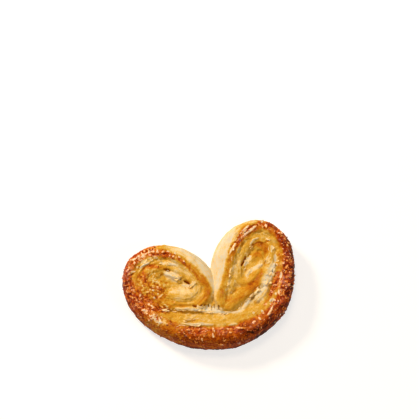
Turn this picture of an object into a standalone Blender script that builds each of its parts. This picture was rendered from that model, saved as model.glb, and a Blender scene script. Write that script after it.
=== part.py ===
"""A palmier: one long sheet of puff pastry rolled up from both ends and baked flat.

The sheet stands on its edge along one line. That line runs from the core of the
left roll out round the roll, along the base, and in round the right roll. Every
wrap has a browned crest near its outer face, a bulging outer wall, and a slope
down to the groove where the next wrap starts.

Metres, +Z up. The pastry lies on its flat underside with the origin at the
centre of its footprint: +X runs across both rolls, +Y towards the notch.
"""

import bmesh
import bpy
from mathutils import Vector

MM = 0.001

CENTRE_SHIFT = 0.5          # brings the middle of the footprint to the origin, along +Y
UNDERSIDE_TRIM = 1.2        # dough below the underside plane, cut away flat
CORE_DEPTH = 8.5            # height to which the rolls are solid under their grooves
STATIONS_PER_SPAN = 5       # sections lofted between two points of the crest line
VOXEL = 0.95                # grid on which the overlapping wraps grow together
FACES_KEPT = 0.30           # share of the grown-together surface that is kept

CRUST_COLOUR = (0.55, 0.25, 0.06, 1.0)
CRUST_ROUGHNESS = 0.45

# The crest line of the sheet, in millimetres. Each row is x, y, the reach of the
# outer wall, the reach of the inner slope, and the height of the crest.
LEFT_CORE = [
    (-16.5, -0.5, 2.4, 2.4, 13.0),
    (-20.0, -2.2, 2.6, 2.6, 13.4),
    (-17.2, -5.4, 2.8, 2.8, 13.8),
    (-12.0, -6.8, 2.8, 3.0, 14.0),
    (-8.6, -4.4, 3.0, 3.0, 14.0),
    (-10.0, 0.2, 3.0, 3.0, 13.8),
    (-14.8, 4.1, 3.0, 3.2, 13.8),
    (-21.2, 5.8, 3.0, 3.2, 14.2),
    (-27.4, 3.8, 3.0, 3.2, 14.4),
    (-30.0, -1.0, 3.0, 3.4, 14.4),
    (-27.0, -6.0, 3.0, 3.6, 14.4),
    (-20.0, -10.2, 3.0, 4.0, 14.4),
]
LEFT_WRAP = [
    (-13.0, -12.4, 3.0, 4.4, 14.5),
    (-6.0, -11.9, 3.0, 4.8, 14.7),
    (-1.6, -8.6, 3.2, 5.0, 14.9),
    (0.0, -4.0, 4.0, 5.0, 15.0),
    (-3.0, 0.8, 6.6, 5.0, 15.2),
    (-8.4, 6.4, 7.2, 4.8, 15.4),
    (-15.5, 10.8, 6.4, 4.6, 15.6),
    (-22.5, 12.4, 5.2, 4.4, 15.8),
    (-29.0, 11.2, 4.2, 4.4, 16.0),
    (-34.2, 7.6, 3.3, 4.6, 16.0),
    (-36.8, 2.8, 2.8, 4.8, 16.0),
    (-36.3, -2.5, 3.0, 5.0, 16.0),
    (-33.4, -7.8, 3.5, 5.0, 15.8),
    (-28.7, -13.2, 4.1, 5.5, 15.6),
    (-22.6, -17.9, 5.0, 6.5, 15.6),
    (-15.8, -21.3, 5.6, 7.5, 15.5),
    (-8.0, -23.6, 6.0, 8.6, 15.5),
]
BASE_MIDDLE = [(2.0, -24.4, 6.0, 9.2, 15.5)]
RIGHT_WRAP = [
    (11.0, -23.5, 6.0, 8.6, 15.5),
    (19.0, -20.5, 5.6, 8.0, 15.5),
    (25.2, -16.2, 5.0, 7.0, 15.6),
    (30.4, -10.6, 4.6, 6.5, 15.6),
    (33.9, -3.6, 4.4, 6.0, 15.8),
    (35.9, 5.4, 3.8, 5.5, 16.0),
    (35.2, 14.5, 3.8, 5.0, 16.0),
    (32.0, 20.6, 3.8, 5.0, 16.0),
    (25.6, 25.0, 3.9, 5.0, 16.0),
    (18.8, 23.6, 5.6, 5.0, 16.0),
    (14.0, 18.6, 7.8, 4.6, 15.8),
    (10.4, 10.4, 8.6, 4.2, 15.6),
    (8.3, 2.0, 7.4, 4.2, 15.2),
    (6.4, -4.4, 5.0, 4.5, 15.0),
    (5.6, -9.0, 4.0, 4.5, 14.8),
    (8.4, -12.0, 3.4, 4.5, 14.6),
]
RIGHT_CORE = [
    (14.8, -7.6, 3.2, 4.0, 14.6),
    (21.0, -3.4, 3.2, 3.6, 14.6),
    (25.4, 2.6, 3.4, 3.4, 14.4),
    (28.2, 8.2, 3.4, 3.2, 14.4),
    (28.8, 13.6, 3.4, 3.2, 14.4),
    (26.4, 18.0, 3.4, 3.2, 14.4),
    (22.0, 19.4, 3.4, 3.2, 14.4),
    (17.8, 16.8, 3.2, 3.2, 14.2),
    (15.3, 11.4, 3.0, 3.0, 14.0),
    (14.0, 5.4, 3.0, 3.0, 13.8),
    (14.2, 0.6, 3.0, 3.0, 13.6),
    (17.0, -1.0, 2.8, 2.8, 13.6),
    (20.4, 1.8, 2.8, 2.8, 13.6),
    (22.8, 6.6, 2.8, 2.6, 13.4),
    (23.4, 11.6, 2.8, 2.4, 13.2),
    (21.2, 12.8, 2.6, 2.4, 13.0),
    (18.8, 8.6, 2.4, 2.4, 12.6),
]

# Where the two rolls meet the base, the dough has grown together under the seam.
SEAM_WEB = [(-8.0, -13.0), (0.0, -7.0), (8.0, -12.0), (7.0, -18.0), (-7.0, -18.0)]

# The section of the sheet: sideways as a share of the reach, positive outwards,
# then the height as a share of the crest height.
OUTER_WALL = [(0.82, 0.0), (0.95, 0.12), (1.0, 0.36), (0.94, 0.62), (0.70, 0.84), (0.34, 0.96)]
INNER_SLOPE = [(0.0, 1.0), (-0.42, 0.95), (-0.78, 0.84), (-1.0, 0.68), (-1.0, 0.0)]


def clear_scene():
    for thing in list(bpy.data.objects):
        bpy.data.objects.remove(thing, do_unlink=True)


def crust_material():
    material = bpy.data.materials.new("browned_puff_pastry")
    material.use_nodes = True
    shader = material.node_tree.nodes["Principled BSDF"]
    shader.inputs["Base Color"].default_value = CRUST_COLOUR
    shader.inputs["Roughness"].default_value = CRUST_ROUGHNESS
    shader.inputs["Metallic"].default_value = 0.0
    return material


def smooth_rows(rows, steps):
    """A Catmull-Rom curve through the rows, with every column blended alike."""
    count = len(rows)
    curve = []
    for i in range(count - 1):
        before, start = rows[max(i - 1, 0)], rows[i]
        end, after = rows[i + 1], rows[min(i + 2, count - 1)]
        for step in range(steps):
            t = step / steps
            curve.append([
                b + 0.5 * t * (c - a + t * (2 * a - 5 * b + 4 * c - d + t * (3 * (b - c) + d - a)))
                for a, b, c, d in zip(before, start, end, after)
            ])
    curve.append(list(rows[-1]))
    return curve


def outward_normals(curve):
    """The sideways direction at each station, on the right of the walk along the sheet."""
    normals = []
    for i in range(len(curve)):
        ahead = curve[min(i + 1, len(curve) - 1)]
        behind = curve[max(i - 1, 0)]
        along = Vector((ahead[0] - behind[0], ahead[1] - behind[1])).normalized()
        normals.append(Vector((along.y, -along.x)))
    return normals


def section_points(station, normal):
    """The closed outline of the sheet at one station, from the outer foot to the inner foot."""
    x, y, outer, inner, crest = station
    points = []
    for share, rise in OUTER_WALL + INNER_SLOPE:
        side = share * (outer if share > 0 else inner)
        height = crest * rise if rise > 0 else -UNDERSIDE_TRIM
        points.append(Vector((x + normal.x * side, y + normal.y * side, height)) * MM)
    return points


def loft_sheet(bm, curve):
    """Lofts the section of the sheet along its crest line, closed at both cores."""
    rings = []
    for station, normal in zip(curve, outward_normals(curve)):
        rings.append([bm.verts.new(point) for point in section_points(station, normal)])
    for ring, ahead in zip(rings, rings[1:]):
        for i, vert in enumerate(ring):
            after = (i + 1) % len(ring)
            bm.faces.new((vert, ahead[i], ahead[after], ring[after]))
    bm.faces.new(rings[0])
    bm.faces.new(reversed(rings[-1]))


def fill_inside(bm, outline):
    """A slab up to CORE_DEPTH, so that the grooves above it are blind and the wraps hold together."""
    foot = [bm.verts.new(Vector((row[0], row[1], -UNDERSIDE_TRIM)) * MM) for row in outline]
    floor = bm.faces.new(foot)
    raised = bmesh.ops.extrude_face_region(bm, geom=[floor])["geom"]
    corners = [item for item in raised if isinstance(item, bmesh.types.BMVert)]
    lift = Vector((0.0, 0.0, (CORE_DEPTH + UNDERSIDE_TRIM) * MM))
    bmesh.ops.translate(bm, verts=corners, vec=lift)


def underside_cutter(collection):
    """A block under the pastry whose top face is the plane that the pastry rests on."""
    bpy.ops.mesh.primitive_cube_add(size=1.0)
    cutter = bpy.context.active_object
    cutter.name = "underside_cutter"
    for vert in cutter.data.vertices:
        vert.co = Vector((vert.co.x * 120.0, vert.co.y * 100.0, (vert.co.z - 0.5) * 10.0)) * MM
    cutter.hide_render = True
    cutter.display_type = "WIRE"
    for owner in list(cutter.users_collection):
        owner.objects.unlink(cutter)
    collection.objects.link(cutter)
    return cutter


def build_palmier(collection, cutters):
    sheet = LEFT_CORE + LEFT_WRAP + BASE_MIDDLE + RIGHT_WRAP + RIGHT_CORE
    bm = bmesh.new()
    loft_sheet(bm, smooth_rows(sheet, STATIONS_PER_SPAN))
    for outline in (LEFT_WRAP, RIGHT_WRAP, SEAM_WEB):
        fill_inside(bm, outline)
    bmesh.ops.recalc_face_normals(bm, faces=bm.faces)
    mesh = bpy.data.meshes.new("palmier")
    bm.to_mesh(mesh)
    bm.free()
    mesh.materials.append(crust_material())
    palmier = bpy.data.objects.new("palmier", mesh)
    palmier.location.y = CENTRE_SHIFT * MM
    collection.objects.link(palmier)

    grown = palmier.modifiers.new("wraps grown together", "REMESH")
    grown.mode = "VOXEL"
    grown.voxel_size = VOXEL * MM
    grown.use_smooth_shade = True
    lighter = palmier.modifiers.new("fewer faces", "DECIMATE")
    lighter.ratio = FACES_KEPT
    flat = palmier.modifiers.new("flat underside", "BOOLEAN")
    flat.operation = "DIFFERENCE"
    flat.object = underside_cutter(cutters)
    return palmier


def main():
    clear_scene()
    collection = bpy.data.collections.new("palmier")
    cutters = bpy.data.collections.new("cutters")
    bpy.context.scene.collection.children.link(collection)
    bpy.context.scene.collection.children.link(cutters)
    build_palmier(collection, cutters)


main()
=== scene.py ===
"""The looks of a palmier: browned puff pastry with a sugared, caramelised crust.

One long sheet of dough is rolled up from both ends. Its section is carried along the
crest line of the sheet, the wraps are grown together on a fine grid, and the surface
is then roughened, browned and sugared wrap by wrap. Sizes are in millimetres until a
mesh is written, where MM turns them into metres.
"""

import itertools
import math

import bmesh
import bpy
import numpy as np
from mathutils import Matrix, Vector
from mathutils.kdtree import KDTree


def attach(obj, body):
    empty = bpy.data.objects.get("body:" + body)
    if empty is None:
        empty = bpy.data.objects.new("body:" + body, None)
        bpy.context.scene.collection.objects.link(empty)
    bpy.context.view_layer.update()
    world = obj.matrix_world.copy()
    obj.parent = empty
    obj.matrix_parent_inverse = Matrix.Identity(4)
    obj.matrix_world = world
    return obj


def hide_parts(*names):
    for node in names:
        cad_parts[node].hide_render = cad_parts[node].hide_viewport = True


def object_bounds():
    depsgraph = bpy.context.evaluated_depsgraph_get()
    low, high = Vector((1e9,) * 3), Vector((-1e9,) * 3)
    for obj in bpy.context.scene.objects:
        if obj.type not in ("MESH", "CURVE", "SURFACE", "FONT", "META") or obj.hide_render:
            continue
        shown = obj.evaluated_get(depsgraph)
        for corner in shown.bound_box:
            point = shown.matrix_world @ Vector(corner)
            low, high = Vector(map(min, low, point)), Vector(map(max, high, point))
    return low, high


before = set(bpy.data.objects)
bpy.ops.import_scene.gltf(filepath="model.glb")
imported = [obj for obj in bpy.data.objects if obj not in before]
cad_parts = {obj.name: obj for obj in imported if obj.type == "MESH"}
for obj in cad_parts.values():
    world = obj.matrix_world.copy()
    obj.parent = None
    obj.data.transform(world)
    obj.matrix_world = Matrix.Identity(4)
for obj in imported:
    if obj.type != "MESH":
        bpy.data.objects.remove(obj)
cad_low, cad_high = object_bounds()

MM = 0.001
TAU = 2.0 * math.pi

# ---------------------------------------------------------------- the sheet

# The crest line of the sheet, walking from the core of the left roll along the base
# to the core of the right one. Each row gives x and y, the reach of the outer wall
# and of the inner slope, the height of the crest, and then from 0, pale, to 1, dark,
# how far the crest, the outer wall and the inner slope are browned, and how thickly
# the crest is sugared.
LEFT_CORE = [
    (-19.5, -6.2, 3.2, 3.4, 13.8, 0.42, 0.40, 0.38, 0.5),
    (-14.0, -7.1, 3.5, 3.4, 14.6, 0.24, 0.32, 0.26, 0.0),
    (-8.8, -6.9, 3.5, 3.0, 14.8, 0.20, 0.32, 0.24, 0.0),
    (-5.8, -4.8, 3.0, 2.4, 14.5, 0.24, 0.34, 0.24, 0.0),
    (-6.4, -1.6, 3.0, 2.2, 14.2, 0.30, 0.34, 0.28, 0.0),
    (-10.2, 2.0, 3.0, 2.4, 14.2, 0.28, 0.34, 0.28, 0.0),
    (-15.2, 4.6, 3.0, 2.8, 14.4, 0.25, 0.30, 0.28, 0.1),
    (-21.2, 6.0, 3.0, 3.6, 14.7, 0.46, 0.42, 0.34, 0.4),
    (-27.2, 4.0, 3.0, 5.5, 14.8, 0.38, 0.42, 0.29, 0.45),
    (-30.0, -0.8, 3.0, 6.5, 14.8, 0.40, 0.44, 0.35, 0.45),
    (-27.2, -6.0, 3.0, 6.0, 14.8, 0.46, 0.50, 0.40, 0.45),
    (-20.5, -10.2, 3.0, 4.8, 14.6, 0.47, 0.52, 0.44, 0.45),
]
LEFT_WRAP = [
    (-13.0, -12.2, 3.0, 4.4, 14.5, 0.42, 0.46, 0.34, 0.2),
    (-6.0, -11.9, 3.0, 4.8, 14.7, 0.40, 0.38, 0.32, 0.1),
    (-1.6, -8.6, 3.2, 5.0, 14.9, 0.50, 0.28, 0.32, 0.2),
    (0.0, -4.0, 4.0, 5.0, 15.0, 0.54, 0.14, 0.32, 0.3),
    (-3.0, 0.8, 6.6, 5.0, 15.2, 0.50, 0.05, 0.24, 0.3),
    (-8.4, 6.4, 7.2, 4.8, 15.4, 0.46, 0.04, 0.18, 0.3),
    (-15.5, 10.8, 6.4, 4.6, 15.6, 0.49, 0.14, 0.21, 0.6),
    (-22.5, 12.4, 5.2, 4.4, 15.6, 0.56, 0.40, 0.30, 0.9),
    (-29.0, 11.2, 4.2, 4.4, 15.6, 0.52, 0.56, 0.26, 1.0),
    (-34.2, 7.6, 3.3, 4.6, 15.6, 0.56, 0.66, 0.36, 1.0),
    (-36.4, 2.8, 2.6, 4.8, 15.6, 0.76, 0.76, 0.40, 0.9),
    (-36.0, -2.5, 2.8, 5.0, 15.6, 0.90, 0.80, 0.43, 0.9),
    (-33.4, -7.8, 3.5, 5.0, 15.5, 0.86, 0.76, 0.54, 1.0),
    (-28.7, -13.2, 4.1, 5.5, 15.4, 0.72, 0.64, 0.58, 0.9),
    (-22.6, -17.9, 4.4, 6.5, 15.4, 0.43, 0.53, 0.42, 0.7),
    (-15.8, -21.3, 4.6, 7.5, 15.3, 0.56, 0.60, 0.34, 0.6),
    (-8.0, -23.6, 5.2, 8.6, 15.3, 0.62, 0.70, 0.28, 0.75),
]
BASE_MIDDLE = [(2.0, -24.4, 5.4, 9.2, 15.3, 0.60, 0.69, 0.28, 0.75)]
RIGHT_WRAP = [
    (11.0, -23.5, 5.6, 8.6, 15.3, 0.64, 0.74, 0.29, 0.75),
    (19.0, -20.5, 5.2, 8.0, 15.3, 0.68, 0.86, 0.32, 0.7),
    (25.8, -16.6, 4.3, 7.0, 15.4, 0.60, 0.86, 0.32, 0.8),
    (31.2, -11.0, 4.2, 6.8, 15.4, 0.73, 0.87, 0.31, 0.9),
    (34.7, -3.8, 3.9, 6.4, 15.6, 0.87, 0.88, 0.30, 1.0),
    (36.2, 5.4, 3.5, 5.7, 15.6, 0.89, 0.90, 0.32, 0.9),
    (35.2, 14.5, 3.8, 5.0, 15.6, 0.76, 0.84, 0.32, 0.8),
    (32.0, 20.6, 3.8, 5.0, 15.6, 0.70, 0.78, 0.32, 0.6),
    (25.6, 25.0, 3.9, 5.0, 15.6, 0.62, 0.50, 0.28, 0.6),
    (18.8, 23.6, 5.6, 5.0, 15.6, 0.62, 0.20, 0.27, 0.6),
    (14.0, 18.6, 7.8, 4.6, 15.6, 0.60, 0.08, 0.26, 0.6),
    (10.4, 10.4, 8.6, 4.2, 15.5, 0.52, 0.05, 0.24, 0.4),
    (8.3, 2.0, 7.4, 4.2, 15.2, 0.46, 0.05, 0.24, 0.3),
    (6.4, -4.4, 5.0, 4.5, 15.0, 0.42, 0.06, 0.26, 0.3),
    (5.6, -9.0, 4.0, 4.5, 14.8, 0.36, 0.20, 0.30, 0.2),
    (8.4, -12.0, 3.4, 4.5, 14.6, 0.38, 0.32, 0.34, 0.2),
]
RIGHT_CORE = [
    (14.8, -7.6, 3.2, 4.0, 14.6, 0.45, 0.26, 0.41, 0.1),
    (21.0, -3.4, 3.2, 3.6, 14.6, 0.55, 0.18, 0.47, 0.1),
    (25.4, 2.6, 3.4, 3.4, 14.4, 0.38, 0.14, 0.32, 0.0),
    (28.2, 8.2, 3.4, 3.2, 14.4, 0.30, 0.18, 0.32, 0.0),
    (28.8, 13.6, 3.4, 3.2, 14.4, 0.32, 0.26, 0.39, 0.1),
    (26.4, 18.0, 3.4, 3.2, 14.4, 0.34, 0.28, 0.41, 0.2),
    (22.0, 19.4, 3.4, 3.2, 14.4, 0.35, 0.28, 0.40, 0.2),
    (17.8, 16.8, 3.2, 3.2, 14.2, 0.34, 0.28, 0.38, 0.1),
    (15.3, 11.4, 3.0, 3.0, 14.0, 0.28, 0.26, 0.30, 0.0),
    (14.0, 5.4, 3.0, 3.0, 13.8, 0.26, 0.26, 0.24, 0.0),
    (14.2, 0.6, 3.0, 3.0, 13.6, 0.28, 0.26, 0.26, 0.0),
    (16.8, -1.2, 2.8, 2.8, 13.6, 0.34, 0.28, 0.28, 0.0),
    (20.0, 0.9, 2.6, 2.6, 13.8, 0.24, 0.18, 0.26, 0.0),
    (23.4, 5.4, 2.6, 2.4, 13.6, 0.24, 0.20, 0.26, 0.0),
    (24.4, 9.8, 2.6, 2.4, 13.2, 0.32, 0.28, 0.34, 0.0),
    (22.4, 12.2, 2.6, 2.4, 13.0, 0.44, 0.34, 0.40, 0.0),
    (19.4, 9.4, 2.4, 2.4, 12.8, 0.30, 0.32, 0.28, 0.0),
]
SHEET = LEFT_CORE + LEFT_WRAP + BASE_MIDDLE + RIGHT_WRAP + RIGHT_CORE
COLUMNS = ("x", "y", "outer", "inner", "crest", "crest_bake", "wall_bake", "slope_bake", "sugar")
STEPS_PER_ROW = 24          # steps of the smooth curve from one row to the next

CENTRE_SHIFT = 0.5          # brings the middle of the footprint to the origin, along +Y
CORE_DEPTH = 12.4           # height of the dough that has grown together under the grooves
SEAM_WEB = [(-8.0, -13.0), (0.0, -7.0), (8.0, -12.0), (7.0, -18.0), (-7.0, -18.0)]

# The section of the sheet, from its outer foot over the crest to its inner foot:
# sideways as a share of the reach, and the height as a share of the crest's.
SECTION = [
    (0.74, 0.0), (0.90, 0.05), (0.98, 0.17), (1.0, 0.36), (0.96, 0.58), (0.84, 0.78),
    (0.64, 0.915), (0.36, 0.985), (0.08, 1.0), (-0.16, 0.995), (-0.42, 0.97), (-0.66, 0.935),
    (-0.86, 0.89), (-0.97, 0.82), (-1.0, 0.60), (-1.0, 0.25), (-0.92, 0.05), (-0.78, 0.0),
]
STEPS_PER_CORNER = 12
TYPICAL_WRAP = (5.0, 15.5)  # the reach and height at which the section's steps are even
SECTION_STEPS = 84
STATION_STEP = 0.42         # spacing of the sections along the sheet
GRID = 0.39                 # cell of the grid on which the wraps grow together
HIGHEST = 15.9              # the dough's highest point

# Wide wraps show two plies: where the rim's ply parts from the inner one, measured inwards
# from the crest, how wide and deep the crease between them is, and the step down there.
TWO_PLIES = (3.6, 4.6)
PLY_CREASE = 2.6
CREASE_DEPTH = 0.9
CREASE_HALF_WIDTH = 0.55
PLY_STEP = 0.5

NOISE_SWING = 1.6           # brings the noise to about -1 to 1
GRAIN_REACH = 0.75          # how far a packed grain reaches, as a share of its cell


def cell_numbers(order, cell):
    """A number from 0 to 255 for each cell of space, in a shuffled order."""
    x, y, z = (cell & 255).T
    return order[(order[(order[x] + y) & 255] + z) & 255]


def noise(points, seed):
    """Smooth gradient noise, about -1 to 1, with grains of size 1.

    Whoever calls it divides the points by the size of the grain in millimetres, and gives
    each noise a seed of its own.
    """
    rng = np.random.default_rng(seed)
    order = rng.permutation(256)
    slopes = rng.normal(size=(256, 3))
    slopes /= np.linalg.norm(slopes, axis=1)[:, None]
    cell = np.floor(points).astype(np.int64)
    inside = points - cell
    fade = inside ** 3 * (inside * (inside * 6.0 - 15.0) + 10.0)
    total = np.zeros(len(points))
    for corner in itertools.product((0, 1), repeat=3):
        slope = slopes[cell_numbers(order, cell + corner)]
        height = (slope * (inside - corner)).sum(axis=1)
        total += height * np.where(corner, fade, 1.0 - fade).prod(axis=1)
    return total * NOISE_SWING


def layered_noise(points, seed, octaves):
    """Noise whose finer copies are added at half the strength each."""
    total = np.zeros(len(points))
    for octave in range(octaves):
        total += noise(points * 2.0 ** octave, seed + octave) * 0.5 ** octave
    return total


def grains(points, seed):
    """Domes packed like grains of sugar: 1 at the middle of a grain, 0 between grains."""
    rng = np.random.default_rng(seed)
    order = rng.permutation(256)
    offsets = rng.uniform(0.1, 0.9, size=(256, 3))
    sizes = rng.uniform(0.45, 1.0, size=256)
    cell = np.floor(points).astype(np.int64)
    best = np.zeros(len(points))
    for step in itertools.product((-1, 0, 1), repeat=3):
        near = cell + step
        pick = cell_numbers(order, near)
        away = np.linalg.norm(near + offsets[pick] - points, axis=1)
        dome = np.clip(1.0 - (away / GRAIN_REACH) ** 2, 0.0, 1.0)
        best = np.maximum(best, sizes[pick] * dome)
    return best


def ease(low, high, value):
    """0 below low, 1 above high, and a smooth ramp between."""
    share = np.clip((value - low) / (high - low), 0.0, 1.0)
    return share * share * (3.0 - 2.0 * share)


def smooth_rows(rows, steps):
    """A Catmull-Rom curve through the rows, with every column blended alike."""
    rows = np.array(rows, dtype=float)
    padded = np.vstack([rows[:1], rows, rows[-1:]])
    before, start, end, after = padded[:-3], padded[1:-2], padded[2:-1], padded[3:]
    pieces = []
    for step in range(steps):
        t = step / steps
        bend = 2 * before - 5 * start + 4 * end - after + t * (3 * (start - end) + after - before)
        pieces.append(start + 0.5 * t * (end - before + t * bend))
    curve = np.stack(pieces, axis=1).reshape(-1, rows.shape[1])
    return np.vstack([curve, rows[-1:]])


def walked(curve):
    """How far along the curve each of its points lies."""
    legs = np.linalg.norm(np.diff(curve, axis=0), axis=1)
    return np.concatenate([[0.0], np.cumsum(legs)])


class Sheet:
    """The crest line of the rolled sheet, read every STATION_STEP, with its directions."""

    def __init__(self):
        curve = smooth_rows(SHEET, STEPS_PER_ROW)
        walk = walked(curve[:, :2])
        self.walk = np.linspace(0.0, walk[-1], int(round(walk[-1] / STATION_STEP)) + 1)
        for name, column in zip(COLUMNS, curve.T):
            setattr(self, name, np.interp(self.walk, walk, column))
        self.y += CENTRE_SHIFT
        along = np.stack([np.gradient(self.x), np.gradient(self.y)], axis=1)
        self.along = along / np.linalg.norm(along, axis=1)[:, None]
        self.outward = np.stack([self.along[:, 1], -self.along[:, 0]], axis=1)


def section_outline():
    """The section read at even steps of a typical wrap, closed along the underside."""
    curve = smooth_rows(SECTION, STEPS_PER_CORNER)
    walk = walked(curve * TYPICAL_WRAP)
    places = np.linspace(0.0, walk[-1], SECTION_STEPS)
    side, rise = (np.interp(places, walk, column) for column in curve.T)
    return np.append(side, side[0]), np.append(rise, rise[0])


# ---------------------------------------------------------------- the camera and the marks

# The camera: how steeply it looks down from the front, its lens, the millimetres across
# the view at the pastry, and how far the view's middle is right of and above it.
CAMERA_RISE = math.radians(74.0)
CAMERA_LENS = 100.0
SENSOR_WIDTH = 36.0
VIEW_WIDTH = 192.2
AIM_ACROSS = 0.9
AIM_UP = 34.0
CAMERA_AWAY = VIEW_WIDTH * CAMERA_LENS / SENSOR_WIDTH

# Fills, marks and leaves are placed by where they show in that view, in millimetres on the
# table at the middle of the pastry's height. MARKS_UP puts the places of the marks level
# with those of the crest line.
MIDDLE_HEIGHT = 7.9
MARKS_UP = 32.6
MARK_STEPS = 6              # steps of the smooth curve from one place of a mark to the next

# Hollows that the rising dough has filled: the places a fill runs through, half its
# width and the height it reaches.
FILLS = [
    ([(-28.5, -1.5), (-24.5, -4.5), (-20.5, -8.0)], 5.6, 14.3),
    ([(-27.0, 4.0), (-21.0, 3.0)], 3.4, 14.0), ([(-27.6, 1.0), (-24.0, 1.4)], 3.0, 14.3),
    ([(-19.6, 2.3), (-16.4, 1.3), (-13.4, 0.0)], 1.6, 14.0),
    ([(-32.4, 7.0), (-33.8, 2.0), (-33.2, -4.0), (-30.4, -8.6)], 2.2, 14.8),
    ([(-31.4, 5.6), (-27.0, 8.0)], 2.0, 14.9),
    ([(-31.6, 1.0), (-30.2, 4.4), (-26.6, 6.4), (-22.0, 7.6)], 1.4, 14.6),
    ([(-27.6, 9.4), (-21.0, 9.8), (-14.6, 7.6)], 1.3, 14.5),
    ([(-25.0, -12.5), (-17.0, -14.0)], 2.2, 14.2),
    ([(-14.0, -9.9), (-8.6, -9.9), (-4.8, -7.6), (-3.8, -3.6)], 1.4, 14.0),
    ([(10.0, -6.0), (12.5, 3.0)], 2.4, 13.9), ([(12.5, 3.0), (14.0, 9.6), (16.4, 14.0)], 1.4, 13.8),
    ([(30.2, 6.6), (28.0, 1.4), (26.0, -3.0)], 2.2, 14.1), ([(24.5, 15.5)], 3.2, 13.6),
    ([(22.0, -10.4), (26.6, -5.4)], 2.8, 14.2),
]

# A stroke is half its width and then the places it runs through. These two sets are marks
# of their own and also part of the even coat of fine sugar.
GRAINY_MIDDLE = [
    (5.0, (-30.0, -0.5), (-24.5, -5.0), (-20.6, -8.0)), (1.8, (-27.6, 1.8), (-21.4, 1.8)),
]
PALE_PATCH = [(2.0, (-26.0, -18.2), (-22.6, -19.8), (-19.2, -21.4))]

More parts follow.
